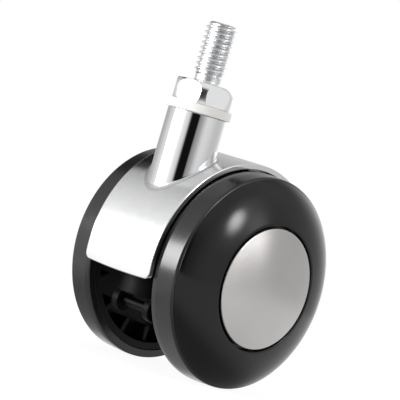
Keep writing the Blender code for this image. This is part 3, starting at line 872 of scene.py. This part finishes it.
def make_core(material):
    outline = core_outline()
    n = len(outline)
    verts = [(x, y, z) for y in (-WEB_HALF, WEB_HALF) for x, z in outline]
    faces = [tuple(range(n)), tuple(range(n, 2 * n))]
    faces += [(i, (i + 1) % n, n + (i + 1) % n, n + i) for i in range(n)]
    obj = mesh_object("core_body_fine", verts, faces)
    bevel_edges(obj, 0.35, 60)
    combine(obj, cylinder("pot", "Z", SWIVEL_AT, POT_R, POT_Z0, POT_Z1, 0.4, 96), "UNION")
    combine(obj, cylinder("tower", "Z", SWIVEL_AT, TOWER_R, POT_Z1 - 1, LINER_TOP, 0.3, 64), "UNION")
    combine(obj, cylinder("boss", "Y", AXLE_AT, BOSS_R, -BOSS_HALF, BOSS_HALF, 0.4, 64), "UNION")
    for side in (-1, 1):
        add_ear(obj, side)
    combine(obj, slab("lug", LUG_X, (-LUG_HALF, LUG_HALF), LUG_Z, 0.4), "UNION")
    socket = cylinder("socket", "Z", SWIVEL_AT, SOCKET_R, SOCKET_FLOOR, LINER_TOP + 1, segments=64)
    combine(obj, socket, "DIFFERENCE")
    for at, radius in ((AXLE_AT, AXLE_BORE_R), (CROSS_AT, CROSS_BORE_R)):
        combine(obj, cylinder("bore", "Y", at, radius, -THROUGH, THROUGH), "DIFFERENCE")
    for y in (-SCREW_Y, SCREW_Y):
        at = (SCREW_X, y, 0)
        hole = cylinder("hole", "Z", at, SCREW_HOLE_R, LUG_Z[0] - 1, LUG_Z[1] + 1, segments=32)
        combine(obj, hole, "DIFFERENCE")
    return piece(obj, "swivel", material)


def make_cross_pin(material):
    """The pin through both ears, its ends drawn in to a blunt point."""
    half, radius = CROSS_HIGH.y, (CROSS_HIGH.x - CROSS_LOW.x) / 2
    corners = [
        (0, -half, 0),
        (radius - 0.5, -half, 0.15),
        (radius, -half + 0.8, 0.3),
        (radius, half - 0.8, 0.3),
        (radius - 0.5, half, 0.15),
        (0, half, 0),
    ]
    obj = lathe("cross_pin_fine", rounded(corners, 4), "Y", CROSS_AT, segments=64)
    return piece(obj, "swivel", material)


def make_axle(material):
    """The axle, chamfered at its ends, with a fine groove beside each push nut."""
    half, radius = AXLE_HIGH.y, (AXLE_HIGH.x - AXLE_LOW.x) / 2
    groove = PUSH_HIGH.y + 0.3
    ends = [
        (radius, groove, 0.05),
        (radius - 0.15, groove + 0.1, 0.05),
        (radius - 0.15, groove + 0.3, 0.05),
        (radius, groove + 0.4, 0.05),
        (radius, half - 0.6, 0.2),
        (radius - 0.6, half, 0.15),
        (0, half, 0),
    ]
    corners = [(r, -u, edge) for r, u, edge in reversed(ends)] + ends
    obj = lathe("axle_pin_fine", rounded(corners, 3), "Y", AXLE_AT, segments=96)
    return piece(obj, "swivel", material)


def make_spacer(label, side, material):
    """A flanged ring between the core's boss and a wheel's hub."""
    low, high = limits(f"hub_spacer_{label}")
    start, end = sorted((abs(low.y), abs(high.y)))
    radius = (high.z - low.z) / 2
    corners = [
        (SPACER_BORE_R, start, 0.1),
        (radius, start, 0.15),
        (radius, start + 0.45, 0.1),
        (radius - 0.4, start + 0.5, 0.05),
        (radius - 0.4, end, 0.1),
        (SPACER_BORE_R, end, 0.1),
    ]
    obj = lathe(f"hub_spacer_{label}_fine", rounded(corners, 3), "Y", AXLE_AT, side, 96)
    return piece(obj, "swivel", material)


# ---- stem ----


def make_thread():
    """The helical ridge with rounded crests, wound past both ends so that an envelope can trim it."""
    segments, turns, base = 60, 12, THREAD_Z0 - 1.8
    depth = THREAD_R - THREAD_ROOT_R
    profile = [
        (0.0, 0.0), (0.0, 0.13), (0.06, 0.19), (0.9, 0.49), (0.98, 0.53), (1.0, 0.56),
        (1.0, 0.61), (0.98, 0.64), (0.9, 0.68),
    ]
    count, total = len(profile), segments * turns
    verts = []
    for i in range(total + 1):
        angle = 2 * math.pi * i / segments
        for rise, share in profile:
            radius = THREAD_ROOT_R + depth * rise
            z = base + PITCH * (share + i / segments)
            verts.append((STEM_X + radius * math.cos(angle), radius * math.sin(angle), z))
    faces = []
    for i in range(total):
        a, b = count * i, count * (i + 1)
        faces += [(a + k, b + k, b + k + 1, a + k + 1) for k in range(count - 1)]
        if i + 1 + segments <= total:
            shift = count * segments
            faces.append((a + count - 1, b + count - 1, b + shift, a + shift))
    verts += [(STEM_X, 0, base - 0.5), (STEM_X, 0, base + PITCH * (turns + 1) + 0.5)]
    low = [count * i for i in range(segments + 1)] + list(range(count - 1, 0, -1))
    high = [count * i + count - 1 for i in range(total - segments, total + 1)]
    high += [count * total + k for k in range(count - 2, -1, -1)]
    for loop, tip in ((low, len(verts) - 2), (high, len(verts) - 1)):
        faces += [(loop[k], loop[(k + 1) % len(loop)], tip) for k in range(len(loop))]
    thread = mesh_object("thread", verts, faces)
    top = STEM_HIGH.z
    envelope = [
        (0, THREAD_Z0 - 0.4), (THREAD_ROOT_R - 0.2, THREAD_Z0 - 0.4), (5.3, THREAD_Z0 + 1.0),
        (5.3, top - 1.6), (THREAD_ROOT_R - 0.1, top), (0, top),
    ]
    return combine(thread, lathe("envelope", envelope, "Z", SWIVEL_AT, segments=97), "INTERSECT")


def make_hex():
    """The hexagon collar, its corners turned down to a barrel so that each flat looks round."""
    corner = HEX_FLATS / math.sqrt(3)
    loop = [(0, HEX_Z0), (corner, HEX_Z0), (corner, HEX_Z1), (0, HEX_Z1)]
    prism = lathe("hex", loop, "Z", SWIVEL_AT, segments=6, turn=math.radians(HEX_TURN_DEG))
    middle, half = (HEX_Z0 + HEX_Z1) / 2, (HEX_Z1 - HEX_Z0) / 2
    flat, barrel = (HEX_FLATS / 2) ** 2, []
    for t in (k / 16 for k in range(-19, 20)):
        foot = HEX_FOOT**2 * t * t if t < 0 else 0.0
        fall = t * t if t < 0 else (t / HEX_REACH) ** HEX_POWER
        barrel.append((math.sqrt(flat + foot + HEX_ROUND**2 * (1 - fall)), middle + half * t))
    barrel = [(0, barrel[0][1])] + barrel + [(0, barrel[-1][1])]
    return combine(prism, lathe("barrel", barrel, "Z", SWIVEL_AT, turn=math.radians(0.7)), "INTERSECT")


def make_stem(material):
    core, tip, top = THREAD_ROOT_R + 0.03, STEM_LOW.z, STEM_HIGH.z
    corners = [
        (0, tip, 0),
        (2.2, tip, 0.3),
        (3.6, tip + 0.7, 0.5),
        (SHANK_R, tip + 3.2, 1.0),
        (SHANK_R, GROOVE_Z0, 0.1),
        (GROOVE_R, GROOVE_Z0, 0.1),
        (GROOVE_R, GROOVE_Z1, 0.1),
        (SHANK_R, GROOVE_Z1, 0.1),
        (SHANK_R, HEX_Z1 - 1.0, 0),
        (core + 0.75, HEX_Z1 - 0.9, 0),
        (core + 0.75, HEX_Z1 + 0.03, 0),
        (core + 0.22, HEX_Z1 + 0.25, 0.2),
        (core, HEX_Z1 + 0.8, 0.3),
        (core, top - 0.05, 0.3),
        (0, top - 0.05, 0),
    ]
    obj = lathe("threaded_stem_fine", rounded(corners, 4), "Z", SWIVEL_AT, segments=96)
    combine(obj, make_hex(), "UNION")
    combine(obj, make_thread(), "UNION")
    return piece(obj, "stem", material, 20.0)


def make_washer(material):
    low, high = WASHER_LOW.z, WASHER_HIGH.z
    bore = SHANK_R + 0.2
    corners = [(bore, low, 0.15), (WASHER_R, low, 0.3), (WASHER_R, high, 0.3), (bore, high, 0.15)]
    obj = lathe("neck_washer_fine", rounded(corners, 5), "Z", SWIVEL_AT)
    return piece(obj, "stem", material)


# ---- studio ----

CAMERA_HEADING_DEG = CAMERA_AZIMUTH_DEG - 90.0
CARD_AT_MM, CARD_AIM_MM = (-266.0, 160.0, 60.0), (-32.0, -10.0, 36.0)
CARD_SIZE_MM, CARD_RADIANCE = (110.0, 110.0), 9.0
LIGHT_SCALE = 2.0

# the wall's brightness by turn, from far behind the object on its left to far behind on its right
ROUND_WALL = [
    (-180, 0.62), (-160, 0.50), (-142, 0.50), (-122, 0.66), (-101, 0.90), (-84, 1.05), (-44, 1.1),
    (-25, 0.74), (-17, 0.05), (-14, 0.007), (11.5, 0.007), (13.5, 0.2), (19, 0.34), (28, 0.43),
    (38, 0.66), (48, 0.82), (62, 0.80), (92, 0.63), (112, 0.64), (130, 0.74), (145, 0.95), (160, 1.1),
    (172, 1.0), (180, 0.62),
]

# soft lights as (turn, height), half sizes, solid share and strength
SOFT_LIGHTS = [
    ((150.0, 28.0), (34.0, 34.0), 0.2, 0.8),  # rim light behind on the right
    ((-66.0, 8.0), (25.0, 22.0), 0.2, 15.0),  # key light on the left
    ((63.0, 24.0), (9.5, 10.0), 0.15, 17.0),  # small softbox high on the right
    ((68.0, 25.0), (27.0, 22.0), 0.0, 1.1),  # its halo
    ((80.0, 17.0), (10.0, 12.0), 0.1, 1.3),  # small light lower on the right
]


def studio_light(nodes):
    """The brightness of the studio in a direction, seen as turns and heights from the camera's side."""
    direction = nodes.add("ShaderNodeTexCoord").outputs["Generated"]
    turned = nodes.add(
        "ShaderNodeVectorRotate",
        {"Vector": direction, "Angle": -math.radians(CAMERA_HEADING_DEG)},
        rotation_type="Z_AXIS",
    ).outputs[0]
    apart = nodes.add("ShaderNodeSeparateXYZ", {0: turned}).outputs
    turn = nodes.math("MULTIPLY", nodes.math("ARCTAN2", apart[1], apart[0]), 180 / math.pi)
    height = nodes.math("MULTIPLY", nodes.math("ARCSINE", apart[2]), 180 / math.pi)

    # a wall round the object, running into the ceiling above and into the floor's glow below
    stops = [(turn_deg / 360 + 0.5, grey / LIGHT_SCALE) for turn_deg, grey in ROUND_WALL]
    share = nodes.math("MULTIPLY_ADD", turn, 1 / 360, 0.5)
    wall = nodes.math("MULTIPLY", nodes.ramp(share, stops), LIGHT_SCALE)
    behind = nodes.smooth(nodes.math("ABSOLUTE", turn), 92.0, 126.0)
    ceiling = nodes.blend(behind, 0.85, 0.48)
    light = nodes.blend(nodes.smooth(height, 12.0, 42.0), wall, ceiling)
    light = nodes.blend(nodes.smooth(height, -8.0, -24.0), light, 0.55)

    for centre, half, solid, strength in SOFT_LIGHTS:
        glow = patch(nodes, turn, height, centre, half, solid)
        light = nodes.math("MULTIPLY_ADD", glow, strength, light)

    # a black card hangs high on the far left
    across, up = band(nodes, turn, -145.0, 18.0, 1.5), band(nodes, height, 58.0, 23.0, 2.0)
    card = nodes.math("MULTIPLY", across, up)
    return nodes.math("MULTIPLY", light, nodes.math("SUBTRACT", 1.0, card))


def patch(nodes, turn, height, centre, half, solid):
    """A soft-edged ellipse of light: one inside its solid share, falling to zero at its outline."""
    across = nodes.math("DIVIDE", nodes.math("SUBTRACT", turn, centre[0]), half[0])
    up = nodes.math("DIVIDE", nodes.math("SUBTRACT", height, centre[1]), half[1])
    return nodes.smooth(nodes.length(across, up), 1.0, solid)


def band(nodes, value, centre, half, soft):
    """One inside centre plus or minus half, falling to zero over the soft width outside it."""
    away = nodes.math("ABSOLUTE", nodes.math("SUBTRACT", value, centre))
    return nodes.smooth(away, half + soft, half)


def make_world():
    world = bpy.data.worlds.new("studio")
    bpy.context.scene.world = world
    world.use_nodes = True
    nodes = Nodes(world.node_tree)
    world.node_tree.nodes.clear()
    studio = nodes.add("ShaderNodeBackground", {"Strength": studio_light(nodes)})
    plain = nodes.add("ShaderNodeBackground", {"Strength": 1.0})
    for background in (studio, plain):
        background.inputs["Color"].default_value = (1.0, 1.0, 1.0, 1.0)
    seen = nodes.add("ShaderNodeLightPath").outputs["Is Camera Ray"]
    mixed = nodes.add("ShaderNodeMixShader", {0: seen, 1: studio.outputs[0], 2: plain.outputs[0]})
    nodes.add("ShaderNodeOutputWorld", {"Surface": mixed.outputs[0]})


def make_key_card():
    """A soft card close by on the left, seen in the near tread but not in the far one."""
    light = bpy.data.lights.new("key_card", "AREA")
    light.shape = "RECTANGLE"
    light.size, light.size_y = CARD_SIZE_MM[0] * MM, CARD_SIZE_MM[1] * MM
    light.energy = CARD_RADIANCE * math.pi * light.size * light.size_y
    card = bpy.data.objects.new("key_card", light)
    bpy.context.scene.collection.objects.link(card)
    card.visible_camera = False
    card.visible_diffuse = False
    place = Vector(CARD_AT_MM)
    facing = (Vector(CARD_AIM_MM) - place).to_track_quat("-Z", "Z").to_matrix().to_4x4()
    card.matrix_world = Matrix.Translation(place * MM) @ facing


FLOOR_HALF, FLOOR_Z = 260.0, -0.02
FLOOR_SEEN, FLOOR_MATT = 0.93, (0.12, 0.12, 0.12, 1.0)
GLOW_AT_MM, GLOW_FROM_MM, GLOW_FULL_MM, GLOW_MORE = (-34.0, -4.0, 0.0), 34.0, 12.0, 0.4


def make_floor():
    """A pale floor that glows almost to white, so that only a soft shadow shows on it.

    Mirrored in the object its glow is painted light and shade: brighter at flat angles and in a pool
    near one spot, darker at steep angles and duller on its near side.
    """
    corners = ((-1, -1), (1, -1), (1, 1), (-1, 1))
    verts = [(FLOOR_HALF * x, FLOOR_HALF * y, FLOOR_Z) for x, y in corners]
    floor = mesh_object("floor", verts, [(0, 1, 2, 3)])
    floor.data.transform(Matrix.Scale(MM, 4))
    material = bpy.data.materials.new("floor_white")
    material.use_nodes = True
    tree = material.node_tree
    tree.nodes.clear()
    nodes = Nodes(tree)
    seen = nodes.add("ShaderNodeLightPath").outputs["Is Camera Ray"]
    geometry = nodes.add("ShaderNodeNewGeometry").outputs
    _, near_side, steep = nodes.add("ShaderNodeSeparateXYZ", {0: geometry["Incoming"]}).outputs
    # painted shade: seen in reflections, the floor is darker along steep rays and brighter along flat
    # ones
    mirrored = nodes.smooth(steep, 0.36, 0.62, 1.05, 0.35)
    spot = [part * MM for part in GLOW_AT_MM]
    keys = {0: geometry["Position"], 1: spot}
    away = nodes.add("ShaderNodeVectorMath", keys, operation="DISTANCE").outputs["Value"]
    # painted light: a pool of extra glow round one spot on the floor, seen only in reflections
    more = nodes.smooth(away, GLOW_FROM_MM * MM, GLOW_FULL_MM * MM, 0.0, GLOW_MORE)
    mirrored = nodes.math("ADD", mirrored, more)
    # painted shade: the floor is duller on its near side
    mirrored = nodes.math("MULTIPLY", mirrored, nodes.smooth(near_side, -0.2, 0.5, 1.0, 0.75))
    strength = nodes.blend(seen, mirrored, FLOOR_SEEN)
    glow = nodes.add("ShaderNodeEmission", {"Color": (1.0, 1.0, 1.0, 1.0), "Strength": strength})
    matt = nodes.add("ShaderNodeBsdfDiffuse", {"Color": FLOOR_MATT})
    both = nodes.add("ShaderNodeAddShader", {0: glow.outputs[0], 1: matt.outputs[0]})
    nodes.add("ShaderNodeOutputMaterial", {"Surface": both.outputs[0]})
    floor.data.materials.append(material)


def make_camera():
    camera = bpy.data.objects.new("camera", bpy.data.cameras.new("camera"))
    bpy.context.scene.collection.objects.link(camera)
    azimuth, elevation = math.radians(CAMERA_AZIMUTH_DEG), math.radians(CAMERA_ELEVATION_DEG)
    back = Vector((
        math.sin(azimuth) * math.cos(elevation),
        -math.cos(azimuth) * math.cos(elevation),
        math.sin(elevation),
    ))
    level = (-back).to_track_quat("-Z", "Y").to_matrix().to_4x4()
    roll = Matrix.Rotation(math.radians(CAMERA_ROLL_DEG), 4, "Z")
    aim = Vector(CAMERA_AIM_MM) * MM
    place = Matrix.Translation(aim + back * CAMERA_DISTANCE_MM * MM)
    camera.matrix_world = place @ level @ roll
    camera.data.lens = CAMERA_LENS
    camera.data.sensor_width = CAMERA_SENSOR
    camera.data.clip_start, camera.data.clip_end = 0.01, 20.0
    bpy.context.scene.camera = camera


# ---- assembly ----


def finish_carried_nodes():
    """Gives each frame node that stays a procedural finish."""
    turned, ground = (1.0, 1.0, 9.0), (9.0, 9.0, 9.0)
    steel = metal("spring_steel", (0.35, 0.35, 0.37), 0.35, ground)
    bronze = metal("sintered_bronze", (0.50, 0.38, 0.20), 0.45, ground, 4.0, 0.2)
    screw = metal("screw_zinc", (0.60, 0.60, 0.62), 0.28, turned)
    finishes = {
        "snap_ring": steel,
        "socket_liner": plastic("liner_acetal", (0.60, 0.60, 0.58), 0.4, 1.0),
        "thrust_disc": metal("disc_steel", (0.45, 0.45, 0.47), 0.3, turned),
    }
    for side in ("near", "far"):
        finishes[f"hood_screw_{side}"] = screw
        finishes[f"push_nut_{side}"] = steel
        finishes[f"wheel_{side}_bush"] = bronze
    for name, material in finishes.items():
        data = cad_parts[name].data
        data.materials.clear()
        data.materials.append(material)


def make_pieces():
    rubber, gloss, nickel = tread_rubber(), cover_gloss(), cap_nickel()
    wheel_nylon = plastic("wheel_nylon", (0.004, 0.004, 0.0043), 0.46, 2.0, specular=0.15)
    core_nylon = plastic("core_nylon", (0.003, 0.003, 0.0033), 0.46, 2.0, specular=0.07)
    spacer_nylon = plastic("spacer_nylon", (0.70, 0.70, 0.68), 0.4, 2.0)
    for label, side in (("near", -1.0), ("far", 1.0)):
        body = f"wheel_{label}"
        make_spacer(label, side, spacer_nylon)
        make_tread(body, side, rubber)
        make_cover(body, side, gloss)
        make_hub_cap(body, side, nickel)
        make_wheel_core(body, side, wheel_nylon)
    make_hood(hood_chrome())
    make_core(core_nylon)
    make_cross_pin(metal("pin_black", (0.009, 0.009, 0.0095), 0.45, (9.0, 9.0, 9.0)))
    make_axle(metal("axle_steel", (0.55, 0.55, 0.56), 0.25, (9.0, 1.0, 9.0)))
    make_stem(stem_zinc())
    make_washer(plastic("white_nylon", (0.80, 0.785, 0.755), 0.5, 1.5, 0.02, 0.3))
    finish_carried_nodes()


bpy.context.scene.view_settings.view_transform = "Standard"
make_world()
make_key_card()
make_floor()
make_camera()
make_pieces()
